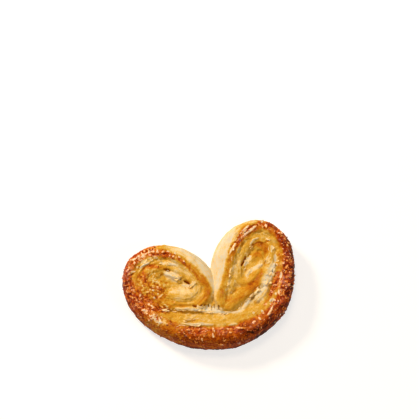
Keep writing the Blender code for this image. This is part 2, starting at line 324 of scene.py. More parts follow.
# Marks on the upper side. Each kind says how far it lifts the surface and how it changes
# the browning and the sugar, and then lists its strokes. Some kinds paint shade into holes,
# slits and grooves, or highlights onto beads and lips.
MARKS = [
    # Holes and slots between the layers, sunk and darkened: partly browning, partly painted shade.
    (-2.2, 0.42, -0.4, [
        (0.6, (-11.0, -1.0), (-9.4, -1.8), (-8.4, -2.4)), (0.4, (-12.6, 0.0), (-12.4, -0.3)),
        (0.5, (-20.1, 4.4), (-18.8, 4.2), (-17.4, 4.0)),
        (0.5, (17.0, 10.4), (16.4, 8.6), (15.3, 6.2)),
        (0.5, (21.6, -6.9), (20.4, -8.0), (19.5, -10.0)),
    ]),
    # Slits in the comb of torn layers along the seam, and under the pale lips, sunk and painted
    # dark as shade.
    (-1.8, 0.36, 0.0, [
        (0.32, (-3.2, -12.4), (-3.0, -13.5)), (0.34, (-1.6, -12.4), (-1.3, -14.4)),
        (0.3, (0.1, -12.2), (0.3, -14.2)), (0.32, (1.5, -13.0), (1.7, -14.8)),
        (0.3, (2.9, -12.6), (3.0, -14.6)), (0.34, (4.9, -12.8), (5.3, -14.6)),
        (0.4, (-7.0, -12.9), (-5.2, -13.2)), (0.3, (29.4, 3.8), (28.0, 0.4)),
    ]),
    # Shallow olive grooves where one layer has sunk beside the next, a little darkened with painted
    # shade.
    (-1.0, 0.08, -0.4, [
        (0.6, (-21.8, 9.1), (-19.6, 9.3), (-17.2, 8.7)),
        (0.6, (-18.4, 3.6), (-15.6, 3.2), (-12.6, 1.5)), (0.7, (26.6, 8.4), (26.2, 6.2)),
        (0.5, (-15.6, -12.6), (-11.0, -13.1), (-7.6, -12.8)), (0.8, (24.4, 12.8), (22.6, 13.0)),
        (0.7, (-10.6, -20.5), (-8.0, -20.3), (-5.8, -20.3)),
    ]),
    # Greenish gold hollows between the pale lips of the right roll.
    (-0.1, 0.0, -0.4, [
        (1.0, (23.4, 8.4), (18.6, 6.4)), (0.8, (22.0, 21.6), (25.4, 21.2)),
        (1.2, (13.0, 9.0), (13.4, 4.0), (14.2, -1.0)),
    ]),
    # Raw-looking openings, where pale dough shows between browned layers.
    (0.0, -0.46, -0.6, [
        (2.1, (-19.4, 2.2), (-16.4, 1.2), (-13.4, 0.1)),
        (0.9, (19.5, 10.5), (17.8, 8.4), (16.6, 6.2)),
        (2.1, (30.0, 6.4), (28.4, 3.0), (26.8, 0.0), (25.2, -4.0)),
        (0.9, (30.8, 11.2), (31.0, 8.2)), (1.6, (-3.0, -14.4), (2.0, -14.4), (6.0, -14.8)),
    ]),
    # Pale curled lips of torn layers: pale dough, and partly painted highlight along their raised
    # edges.
    (0.5, -0.38, -0.5, [
        (0.7, (-11.8, -3.1), (-9.6, -3.6), (-7.2, -2.9), (-6.0, -1.6)),
        (0.75, (-21.6, 7.2), (-18.6, 6.9), (-14.6, 6.4)),
        (0.9, (24.4, 6.6), (22.8, 5.6), (20.4, 4.2), (18.2, 2.4), (17.8, 0.6)),
        (0.45, (19.4, 16.4), (20.8, 18.3), (22.8, 19.1)), (0.45, (28.9, 15.6), (29.1, 12.6)),
        (0.45, (27.6, 10.8), (26.6, 8.6)),
        (0.8, (-14.8, -14.3), (-8.0, -14.6), (-2.0, -15.4), (4.0, -15.9), (10.0, -16.4)),
        (0.8, (10.0, -16.4), (14.0, -15.7), (16.6, -13.6), (18.6, -10.6), (20.4, -7.6)),
        (0.6, (20.4, -7.6), (23.4, -5.0)),
        (0.5, (-12.4, -21.4), (-8.0, -21.9), (-3.0, -21.8), (2.0, -22.1)),
        (0.45, (9.4, -22.3), (13.6, -21.5)), (0.4, (-20.2, -12.2), (-19.2, -13.0), (-18.4, -13.9)),
    ]),
    # Broad pale stretches of the slopes.
    (0.0, -0.14, -0.3, [
        (1.1, (-30.4, 7.0), (-28.8, 7.6), (-27.2, 7.4)),
        (1.2, (-17.6, -6.6), (-13.0, -6.2), (-9.0, -6.0)),
        (2.4, (22.0, -10.4), (24.6, -7.6), (27.0, -4.4)),
    ]),
    # A pale patch of the crust below the left roll, with clear sugar on it.
    (0.2, -0.43, -0.05, PALE_PATCH),
    # Golden strips outside the crests, flaky and a little sugared.
    (0.0, 0.14, 0.25, [
        (1.8, (19.0, 25.4), (15.0, 22.8), (11.6, 18.6)), (1.1, (11.0, 17.0), (9.4, 12.4)),
        (2.0, (6.2, -6.0), (8.6, -9.6), (12.0, -10.0)),
        (0.9, (-14.0, 9.6), (-9.0, 5.6), (-4.6, -0.4)),
    ]),
    # Deeper caramel, orange to red, where the glaze pooled.
    (0.0, 0.15, 0.3, [
        (1.4, (-37.0, 2.4), (-37.2, -1.0), (-37.0, -4.2), (-35.8, -7.6)),
        (1.6, (-35.6, -1.0), (-35.2, -5.4)), (1.1, (-32.6, -11.4), (-31.6, -13.4)),
        (1.4, (-29.4, -8.6), (-27.4, -10.2), (-25.4, -11.0)),
        (1.4, (-26.0, -14.4), (-22.0, -15.0), (-18.0, -15.6)), (0.9, (-24.0, -4.6), (-21.8, -5.2)),
        (0.9, (-30.2, 4.2), (-28.2, 5.2), (-25.6, 5.6), (-22.4, 5.4)),
        (0.9, (-29.6, 3.4), (-29.4, 0.6), (-28.4, -2.0)),
        (1.1, (-25.6, 11.0), (-22.0, 10.9), (-17.6, 11.1)), (1.6, (13.8, 15.4), (15.6, 17.8)),
        (1.2, (22.6, 26.0), (25.4, 25.6), (28.4, 25.2)),
        (1.6, (31.6, 23.0), (33.2, 20.0), (35.2, 15.0)),
        (1.5, (31.8, 3.0), (30.6, -2.4), (28.8, -7.0), (26.2, -12.4)),
        (2.4, (33.0, 12.0), (33.2, 7.0), (32.4, 1.0), (31.0, -4.0)),
        (1.6, (31.8, 1.0), (30.4, -4.0), (28.8, -8.0)),
        (1.4, (-8.0, -24.6), (-4.0, -24.6), (-1.0, -25.0)),
        (1.4, (4.0, -24.6), (10.0, -24.4), (16.0, -24.4)),
    ]),
    # The grainy golden middle of the left roll.
    (0.0, 0.0, 0.10, GRAINY_MIDDLE + [(1.6, (-33.4, 3.0), (-33.6, -3.0), (-31.4, -8.0))]),
    # Browned dough without sugar: the core and the ridge of the right roll.
    (0.0, 0.15, 0.0, [
        (2.5, (24.2, 3.8), (21.0, 0.9), (17.6, -2.8)),
        (1.4, (26.0, 3.0), (22.4, 0.6), (18.4, -3.0)),
        (2.0, (22.0, 15.6), (25.0, 15.4), (27.0, 13.0)), (0.9, (19.0, 20.8), (18.0, 17.6)),
    ]),
    # Beads and runs of clear glaze that stand proud of the darker crust, painted pale as
    # highlights.
    (0.35, -0.66, 0.2, [
        (0.6, (-36.4, 1.9), (-35.2, 2.9), (-33.4, 3.3)), (0.5, (-35.9, 5.5), (-36.3, 4.3)),
        (0.6, (-33.7, 8.0), (-33.8, 6.9)),
        (0.5, (-35.6, 8.6), (-34.0, 9.0), (-32.4, 10.2), (-31.2, 10.8)),
        (0.5, (-32.4, 5.7), (-32.2, 4.7)),
        (0.55, (-31.4, 4.6), (-30.0, 5.6), (-28.6, 6.4), (-26.8, 7.4)),
        (0.5, (-30.7, 12.4), (-30.0, 11.4), (-29.0, 10.9)), (0.5, (-29.3, 13.3), (-28.9, 12.6)),
        (0.5, (-28.6, 11.6), (-27.4, 12.6), (-26.6, 12.3)), (0.4, (-27.5, 13.6), (-26.8, 13.2)),
        (0.5, (-26.0, 12.8), (-24.6, 12.6)), (0.5, (-23.6, 12.9), (-22.4, 12.2)),
        (0.5, (-21.2, 12.3), (-19.9, 12.9)), (0.45, (-19.0, 13.1), (-17.9, 12.6)),
        (0.4, (-23.2, 13.8), (-23.1, 12.8)), (0.45, (-17.9, 10.3), (-17.5, 11.1)),
        (0.45, (-15.4, 12.3), (-14.8, 11.5)), (0.45, (-16.2, 10.5), (-15.5, 10.9)),
        (0.4, (-13.6, 10.6), (-12.8, 9.8)), (0.4, (-11.4, 8.6), (-10.6, 7.6)),
        (0.55, (-36.0, -8.3), (-34.8, -8.9), (-34.2, -9.6)), (0.5, (-34.5, -6.1), (-33.6, -6.4)),
        (0.5, (-31.7, -9.2), (-31.0, -9.8), (-30.2, -9.6)), (0.45, (-31.3, -8.7), (-30.7, -7.9)),
        (0.45, (-33.4, -10.4), (-32.4, -10.6)),
        (0.55, (-26.3, -12.7), (-25.4, -13.5), (-24.2, -14.0)),
        (0.45, (-25.0, -8.8), (-24.2, -9.8)), (0.4, (-22.5, -8.9), (-21.1, -8.3)),
        (0.4, (-25.8, -5.7), (-24.7, -5.8)), (0.45, (-27.6, -12.2), (-26.6, -12.3)),
        (0.4, (-38.7, -3.2), (-37.8, -3.5)), (1.1, (-29.8, -14.9), (-28.8, -15.6), (-28.0, -16.6)),
        (0.45, (-22.0, -20.4), (-20.8, -21.4)), (0.75, (15.1, 19.3), (16.4, 20.3), (17.8, 21.6)),
        (0.72, (17.4, 21.2), (19.6, 23.2), (21.9, 25.1)),
        (0.52, (14.6, 21.2), (16.6, 23.4), (18.8, 25.2)),
        (0.55, (9.8, 11.6), (11.2, 14.4), (12.6, 16.8)), (0.67, (25.6, 24.9), (26.9, 25.5)),
        (0.57, (26.6, 24.2), (26.2, 26.0)), (0.52, (25.3, 25.0), (24.7, 24.3)),
        (0.55, (34.9, 19.1), (35.4, 18.5)), (0.45, (32.4, 24.2), (33.2, 23.6)),
        (0.4, (33.2, 21.8), (34.0, 21.2)), (0.45, (24.2, 26.8), (25.0, 27.2)),
        (0.4, (36.0, 16.4), (36.6, 15.2)), (0.57, (36.6, 6.6), (35.9, 5.4), (35.2, 4.9)),
        (0.57, (35.1, 2.9), (35.7, 2.8)), (0.47, (36.5, 9.0), (36.2, 8.2)),
        (0.52, (34.1, -3.3), (34.9, -3.6)), (0.47, (36.7, -2.7), (37.3, -3.0)),
        (0.47, (35.1, -1.0), (35.9, -0.9)), (0.7, (33.4, 2.8), (33.2, 0.2)),
        (0.45, (32.6, -1.2), (33.0, -1.9)), (0.45, (34.6, 9.1), (35.1, 8.5)),
        (0.45, (34.2, 7.5), (34.8, 6.9)), (0.57, (31.3, -6.8), (30.7, -7.8)),
        (0.57, (32.3, -5.5), (32.6, -7.0), (33.0, -8.0)),
        (0.8, (28.2, -10.8), (29.4, -10.3), (30.8, -10.4)),
        (0.6, (28.2, -12.0), (29.4, -12.2), (30.4, -12.3)),
        (0.57, (29.6, -13.0), (28.6, -15.6), (27.0, -17.6)), (0.52, (24.6, -15.0), (25.4, -16.8)),
        (0.52, (20.3, -16.2), (21.3, -16.6)), (0.57, (20.5, -20.7), (21.7, -20.3)),
        (0.47, (23.0, -18.5), (24.1, -19.7)), (0.45, (2.0, -23.4), (3.0, -25.2)),
        (0.4, (2.2, -26.2), (2.4, -28.0)), (0.4, (-10.2, -24.4), (-8.4, -24.6)),
        (0.47, (13.2, -23.4), (16.8, -23.6)), (0.4, (-2.9, -28.4), (-2.6, -30.0)),
        (0.35, (9.6, -25.5), (10.7, -26.0)),
    ]),
    # Cracks and burnt specks in the crust.
    (-0.4, 0.24, 0.0, [
        (0.5, (-34.9, 7.9), (-34.6, 7.1)), (0.4, (-31.5, 5.8), (-31.3, 4.6)),
        (0.4, (-30.3, -7.8), (-29.8, -8.3)), (0.4, (-34.7, -5.1), (-33.9, -5.3)),
        (0.45, (-36.0, -7.1), (-35.3, -7.7)), (0.35, (-23.9, -9.0), (-23.3, -9.5)),
        (0.4, (-21.0, -15.7), (-20.2, -15.9)), (0.35, (-19.8, -4.7), (-19.2, -4.9)),
        (0.45, (-36.0, 0.9), (-35.0, 1.8), (-33.9, 2.3)), (0.4, (-30.3, 13.0), (-29.7, 12.2)),
        (0.4, (-28.0, 13.3), (-27.8, 12.5)), (0.5, (-33.9, 11.2), (-33.1, 10.6)),
        (0.4, (-26.9, 14.4), (-26.6, 13.8)), (0.45, (-20.4, 12.1), (-18.9, 12.0)),
        (0.35, (-17.5, 10.4), (-16.5, 10.1)), (0.35, (18.8, 23.6), (20.0, 24.8), (21.5, 26.0)),
        (0.35, (16.3, 21.5), (17.9, 22.6)), (0.35, (11.7, 17.1), (12.8, 17.5)),
        (0.35, (10.2, 15.7), (11.3, 14.3)),
        (0.4, (20.0, 15.7), (21.6, 16.8), (23.4, 17.4), (25.4, 16.9)),
        (0.5, (26.0, 17.0), (27.4, 17.8), (28.8, 18.0)),
    ]),
]

# Where the sugar lies as an even coat of fine grains.
GRAINY = GRAINY_MIDDLE + PALE_PATCH + [(1.6, (-24.0, -13.4), (-17.0, -14.6))]
HIGHLIGHT_MARKS_BELOW = -0.5               # marks paler than this, the painted highlights, get a darker ring round them
HIGHLIGHT_RING_BAKE = 0.18            # how much darker that ring is
MARKED_FROM = (6.0, 11.0)   # heights between which marks come to their full strength
FILLED_FROM = (7.0, 11.0)


def line_share(x, y, places):
    """How far each point is from the line through the places, and its share of the way."""
    single = len(places) == 1
    line = np.array(places * 2, dtype=float) if single else smooth_rows(places, MARK_STEPS)
    away, share = np.full(len(x), 1e9), np.zeros(len(x))
    for number, (start, end) in enumerate(zip(line[:-1], line[1:])):
        leg = end - start
        t = ((x - start[0]) * leg[0] + (y - start[1]) * leg[1]) / max(leg @ leg, 1e-9)
        t = np.clip(t, 0.0, 1.0)
        reach = np.hypot(x - start[0] - t * leg[0], y - start[1] - t * leg[1])
        share = np.where(reach < away, (number + t) / (len(line) - 1), share)
        away = np.minimum(away, reach)
    return away, share


def seen_from_front(x, y, z):
    """Where a point shows in the camera's view, on the scale of the marks."""
    tilt, flat = math.cos(CAMERA_RISE), math.sin(CAMERA_RISE)
    above = z - MIDDLE_HEIGHT
    nearer = CAMERA_AWAY / (CAMERA_AWAY + y * tilt - above * flat)
    up = (y * flat + above * tilt - AIM_UP) * nearer / flat
    return AIM_ACROSS + (x - AIM_ACROSS) * nearer, MARKS_UP + up


def mark_weight(x, y, places, half_width, wander):
    """1 along a mark with a ragged edge, fading out at its half width and at its ends."""
    weight = np.zeros(len(x))
    spots = np.array(places)
    low, high = spots.min(axis=0) - 2 * half_width, spots.max(axis=0) + 2 * half_width
    near = np.nonzero((x > low[0]) & (x < high[0]) & (y > low[1]) & (y < high[1]))[0]
    away, share = line_share(x[near], y[near], places)
    taper = 0.45 + 0.55 * np.sin(np.pi * share) ** 0.7 if len(places) > 1 else 1.0
    away = away / (half_width * taper) + 0.35 * wander[near]
    weight[near] = np.exp(-np.clip(away, 0.0, 9.0) ** 3)
    return weight


# ---------------------------------------------------------------- the shape of the dough

def ply_drop(walk, inwards, inner):
    """How far the top of a wrap drops where the rim's ply parts from the inner ply."""
    spots = np.stack([walk, walk * 0.0, walk * 0.0], axis=1) / 7.0
    two_plies = ease(*TWO_PLIES, inner) * ease(-0.5, 0.5, noise(spots, 14))
    wander = 0.5 * noise(spots * 2.6, 15)
    crease = np.exp(-((inwards - PLY_CREASE - wander) / CREASE_HALF_WIDTH) ** 2)
    step = ease(PLY_CREASE - 0.9, PLY_CREASE + 0.1, inwards) * PLY_STEP
    return two_plies * (CREASE_DEPTH * crease + step)


def sheet_points(sheet):
    """The places of the sheet's surface, station by station, with its larger unevenness."""
    side, rise = section_outline()
    stations, around = len(sheet.x), len(side)
    reach = np.where(side[None, :] > 0, sheet.outer[:, None], sheet.inner[:, None])
    sideways = side[None, :] * reach
    height = rise[None, :] * sheet.crest[:, None]
    walk = np.repeat(sheet.walk[:, None], around, axis=1)
    spots = np.stack([walk, sideways, height], axis=2).reshape(-1, 3)

    body = np.clip(height / 15.0, 0.0, 1.0).reshape(-1)
    swell = layered_noise(spots / [7.0, 9.0, 9.0], 11, 2)
    blister = layered_noise(spots / [2.6, 2.2, 2.6], 12, 2)
    sideways = sideways.reshape(-1)
    lean = 0.30 * swell * body + 0.22 * blister
    sideways = sideways + np.sign(sideways) * np.clip(np.abs(sideways) / 2.0, 0.0, 1.0) * lean
    height = height.reshape(-1)
    inner = np.repeat(sheet.inner, around)
    height = height + body ** 4 * (0.35 * layered_noise(spots / [5.0, 5.0, 9.0], 13, 2) - 0.1)
    height -= body ** 6 * ply_drop(walk.reshape(-1), -sideways, inner)

    index = np.repeat(np.arange(stations), around)
    x = sheet.x[index] + sheet.outward[index, 0] * sideways
    y = sheet.y[index] + sheet.outward[index, 1] * sideways
    return np.stack([x, y, np.maximum(height, 0.0)], axis=1), index


def mesh_object(name, bm):
    """A new object at the origin from a bmesh in millimetres."""
    bmesh.ops.scale(bm, vec=(MM, MM, MM), verts=bm.verts)
    mesh = bpy.data.meshes.new(name)
    bm.to_mesh(mesh)
    bm.free()
    piece = bpy.data.objects.new(name, mesh)
    bpy.context.scene.collection.objects.link(piece)
    return piece


def add_sheet(bm, sheet):
    """Wraps a flat grid into the closed tube of the sheet and closes its two ends."""
    places, index = sheet_points(sheet)
    stations, around = len(sheet.x), SECTION_STEPS + 1
    bmesh.ops.create_grid(bm, x_segments=stations - 1, y_segments=around - 1, size=1.0)
    for vert in bm.verts:
        station = round((vert.co.x + 1.0) / 2.0 * (stations - 1))
        step = round((vert.co.y + 1.0) / 2.0 * (around - 1))
        vert.co = places[station * around + step]
    bmesh.ops.remove_doubles(bm, verts=bm.verts, dist=0.001)
    bmesh.ops.holes_fill(bm, edges=[edge for edge in bm.edges if edge.is_boundary])
    return places, index


def thicken(bm, faces, height):
    """Makes a closed slab of the faces: a copy of them, height above, and walls between."""
    raised = bmesh.ops.extrude_face_region(bm, geom=faces)["geom"]
    tops = [item for item in raised if isinstance(item, bmesh.types.BMVert)]
    bmesh.ops.translate(bm, verts=tops, vec=(0.0, 0.0, height))


def add_slab(bm, outline):
    """The solid dough inside a roll, up to CORE_DEPTH."""
    corners = [bm.verts.new((row[0], row[1] + CENTRE_SHIFT, 0.0)) for row in outline]
    thicken(bm, [bm.faces.new(corners)], CORE_DEPTH)


def grow_together(piece, cell):
    """Turns overlapping closed shapes into one surface on an even grid."""
    grown = piece.modifiers.new("grown together", "REMESH")
    grown.mode = "VOXEL"
    grown.voxel_size = cell * MM
    grown.use_smooth_shade = True
    view = bpy.context.evaluated_depsgraph_get()
    whole = bpy.data.meshes.new_from_object(piece.evaluated_get(view))
    loose = piece.data
    piece.modifiers.clear()
    piece.data = whole
    whole.name = piece.name
    bpy.data.meshes.remove(loose)


def read_vertices(mesh, name):
    """The places or the normals of the mesh's points, a row for each."""
    flat = np.empty(len(mesh.vertices) * 3, dtype=np.float32)
    mesh.vertices.foreach_get(name, flat)
    return flat.reshape(-1, 3).astype(float)


def write_points(mesh, points):
    """Moves the mesh's points to their places in millimetres."""
    mesh.vertices.foreach_set("co", (points * MM).astype(np.float32).reshape(-1))
    mesh.update()


def give_attribute(mesh, name, values):
    """Stores one number or one vector for each point of the mesh."""
    kind = "FLOAT" if values.ndim == 1 else "FLOAT_VECTOR"
    layer = mesh.attributes.new(name, kind, "POINT")
    key = "value" if kind == "FLOAT" else "vector"
    layer.data.foreach_set(key, values.astype(np.float32).reshape(-1))


# ---------------------------------------------------------------- browning and sugar

# How far each kind of unevenness moves the surface, in millimetres.
LAYER_LIFT = 0.20
LIP_LIFT = 0.22
BLISTER_LIFT = 0.20
WRINKLE_LIFT = 0.12
HUMP_LIFT = 0.26
GRAIN_LIFT = 0.40
RUN_LIFT = 0.40
FLECK_LIFT = 0.25

# How much each of them browns the dough, or with a minus lightens it. The lightening of
# grains, flecks, runs and glints is partly painted highlight; the hollow and warmth terms
# are painted shade, and the foot is partly painted shade.
MOTTLE_BAKE = 0.10
PATCH_BAKE = 0.05
LAYER_BAKE = -0.09
FLECK_PALE_AND_HIGHLIGHT = -0.78
GRAIN_PALE_AND_HIGHLIGHT = -0.36
RUN_HIGHLIGHT_BAKE = -0.88
GLINT_HIGHLIGHT_BAKE = -0.45
HOLLOW_SHADE_BAKE = 0.26
WRINKLE_BAKE = 0.10
HOLLOW_WARM_SHADE_BAKE = 0.14
FOOT_BROWN_AND_SHADE_BAKE = 0.32
EDGE_BAKE = 0.30
UNDERSIDE_BAKE = 0.52

HOLLOW_CELL = 0.45          # cell of the grid on which the depth of hollows is read
HOLLOW_SPREAD = 1.3         # how far round a point the surface is averaged


def highest_in_cells(points, cell, margin, spare):
    """The highest point in each cell of a grid, the grid's corner, and each point's cell."""
    low = points[:, :2].min(axis=0) - margin
    place = np.floor((points[:, :2] - low) / cell).astype(int)
    tops = np.zeros(tuple(place.max(axis=0) + spare))
    np.maximum.at(tops, (place[:, 0], place[:, 1]), points[:, 2])
    return tops, low, place


def hollow_depth(points, cell, spread):
    """How far each point lies below the upper surface around it, averaged over spread."""
    margin = 2 * spread
    tops, low, place = highest_in_cells(points, cell, margin, int(margin / cell) + 2)
    known = (tops > 0).astype(float)
    half = int(3 * spread / cell)
    weights = np.exp(-0.5 * (np.arange(-half, half + 1) * cell / spread) ** 2)
    for axis in (0, 1):
        blur = lambda line: np.convolve(line, weights, mode="same")
        tops = np.apply_along_axis(blur, axis, tops)
        known = np.apply_along_axis(blur, axis, known)
    mean = tops / np.maximum(known, 1e-6)
    return mean[place[:, 0], place[:, 1]] - points[:, 2]


class Crust:
    """What is known at each point of the grown dough: where on the sheet, how baked.

    sheet_place is how far along the sheet, how far outwards from the crest and how high.
    """

    def __init__(self, mesh, sheet, places, index):
        self.points = read_vertices(mesh, "co") / MM
        self.normals = read_vertices(mesh, "normal")
        tree = KDTree(len(places))
        for number, place in enumerate(places):
            tree.insert(place, number)
        tree.balance()
        nearest = np.array([tree.find(point)[1] for point in self.points])
        station = index[nearest]
        away = self.points[:, :2] - np.stack([sheet.x[station], sheet.y[station]], axis=1)
        outwards = (away * sheet.outward[station]).sum(axis=1)
        step = np.clip((away * sheet.along[station]).sum(axis=1), -STATION_STEP, STATION_STEP)
        walk = sheet.walk[station] + step
        read = lambda name: np.interp(walk, sheet.walk, getattr(sheet, name))
        sugar, crest_bake, slope_bake = read("sugar"), read("crest_bake"), read("slope_bake")
        self.sheet_place = np.stack([walk, outwards, self.points[:, 2]], axis=1)

        # The outer wall, the inner slope and the crest between them, with frayed borders.
        fray = noise(self.sheet_place / [2.6, 9.0, 4.0], 16)
        fray = 0.5 * fray + 0.35 * noise(self.sheet_place / [0.9, 9.0, 3.0], 17)
        self.on_wall = ease(0.6, 2.4, outwards + fray)
        self.on_slope = ease(0.22, 0.46, (fray - outwards) / read("inner"))
        self.on_underside = ease(0.3, 0.8, -self.normals[:, 2]) * ease(1.6, 0.6, self.points[:, 2])
        crest = 1.0 - self.on_wall - self.on_slope

        across = np.clip(outwards / 2.5, -1.0, 1.0) * sugar
        patchy = layered_noise(self.points / 3.4, 18, 2)
        ragged = walk + 3.0 * layered_noise(self.points / 4.5, 19, 2)
        self.wall_bake = np.interp(ragged, sheet.walk, sheet.wall_bake) * (1.0 + 0.15 * patchy)
        self.melted = crest * ease(0.45, 0.74, crest_bake)
        self.bake = (crest * (crest_bake + 0.08 * across) + self.on_wall * self.wall_bake
                     + self.on_slope * slope_bake)
        sugared_wall = ease(0.24, 0.52, self.wall_bake)
        self.sugar = crest * sugar + self.on_wall * sugared_wall * (0.4 + 0.45 * sugar)
        self.sugar += self.on_slope * (0.26 + 0.35 * sugar * ease(0.3, 0.5, slope_bake))
        self.lift, self.grainy = np.zeros(len(walk)), np.zeros(len(walk))
        self.take_marks()
        self.sugar = np.clip(self.sugar, 0.0, 1.0) * (1.0 - self.on_underside)

    def take_marks(self):
        """Adds the fills and the marks of the upper side to the lift, browning and sugar, painted
        shade and highlights among them.
        """
        x, y = seen_from_front(*self.points.T)
        z = self.points[:, 2]
        wander = noise(np.stack([x, y, x * 0.0], axis=1) / 1.2, 41)
        filled = ease(*FILLED_FROM, z)
        for places, half_width, level in FILLS:
            weight = mark_weight(x, y, places, half_width, 0.4 * wander)
            self.lift += filled * weight * np.maximum(level - z - self.lift, 0.0)
        marked = ease(*MARKED_FROM, z)
        for half_width, *places in GRAINY:
            weight = mark_weight(x, y, places, half_width, wander) * marked
            self.grainy = np.maximum(self.grainy, weight)
        for lift, bake, sugar, strokes in MARKS:
            for half_width, *places in strokes:
                weight = mark_weight(x, y, places, half_width, wander) * marked
                self.lift += weight * lift
                self.bake += weight * bake
                # The palest marks are painted highlights; each gets a darker ring round it.
                if bake < HIGHLIGHT_MARKS_BELOW:
                    highlight_ring = mark_weight(x, y, places, 1.9 * half_width + 0.2, wander) * marked
                    self.bake += HIGHLIGHT_RING_BAKE * (highlight_ring - weight)
                self.sugar += weight * sugar


def pale_wall(crust, palest_from):
    """1 on the pale walls of the notch, where the sheet's outer face has barely browned."""
    return crust.on_wall * ease(palest_from, 0.10, crust.wall_bake)


def roughen(crust):
    """Moves the points out and in: flaky layers along the wraps, blisters and sugar."""
    points = crust.points
    points[:, 2] += crust.lift
    upper = ease(10.0, 13.0, points[:, 2]) * ease(0.2, 0.7, crust.normals[:, 2])
    smooth = pale_wall(crust, 0.35)
    crust.rim = ease(0.72, 0.95, crust.sugar)

    # Layers and torn lips along the wraps, and blisters and humps in any direction.
    layers = layered_noise(crust.sheet_place / [6.0, 0.85, 1.1], 21, 2)
    lips = 1.0 - 2.0 * np.abs(noise(crust.sheet_place / [5.0, 1.1, 2.4], 22))
    crust.wrinkles = layered_noise(crust.sheet_place / [18.0, 30.0, 0.8], 38, 2) * smooth
    blisters = layered_noise(points / 1.7, 23, 2)
    humps = layered_noise(points / 4.5, 24, 2)

    # Sugar: beads on the rim, fine grains elsewhere, both thicker in clumps.
    warp = np.stack([noise(points / 2.2, 28), noise(points / 2.2, 29), blisters], axis=1)
    beads = grains(crust.sheet_place / [2.8, 1.6, 1.6] + 0.4 * warp, 25)
    fine = grains(points / 0.8, 27)
    crystals = crust.rim * beads + (1.0 - crust.rim) * fine
    clumps = 0.15 + 0.85 * ease(-0.3, 0.35, noise(points / 3.6, 26))

    # Glaze: thin raised runs that wind over the rim, and smooth glints between them; brown()
    # paints both pale as highlights.
    glazed = ease(0.7, 0.92, crust.sugar) * (1.0 - crust.on_wall)
    bends = noise(crust.sheet_place / [2.2, 1.5, 1.5] + 0.6 * warp, 36)
    runs = np.exp(-(bends / 0.15) ** 2) - 0.4 * np.exp(-(bends / 0.45) ** 2)
    crust.runs = runs * ease(-0.1, 0.3, noise(points / 3.0, 37)) * glazed
    crust.glints = ease(0.30, 0.70, noise(points / 1.2, 39)) * glazed

    plain = 1.0 - crust.sugar
    hard = 1.0 - 0.5 * crust.melted
    move = (LAYER_LIFT * layers + LIP_LIFT * lips * upper) * (0.25 + 0.75 * plain) * (1.0 - smooth)
    move += BLISTER_LIFT * blisters * (1.0 - 0.8 * smooth) + WRINKLE_LIFT * crust.wrinkles
    move += HUMP_LIFT * humps * upper
    move += GRAIN_LIFT * (1.0 + crust.rim) * crust.sugar * clumps * (crystals - 0.35) * hard
    move += RUN_LIFT * crust.runs + FLECK_LIFT * crust.grainy * (fine - 0.4)
    move *= 1.0 - 0.85 * crust.on_underside
    crust.points = points + crust.normals * move[:, None]
    crust.points[:, 2] = np.clip(crust.points[:, 2], 0.0, HIGHEST)
    crust.grain = crystals * clumps * crust.sugar
    # Pale flecks on the tops of the fine grains: partly sugar, partly painted highlight.
    crust.flecks = crust.grainy * (fine * (0.65 + 0.35 * clumps) - 0.36)
    crust.layers = 0.6 * layers + 0.6 * lips * upper


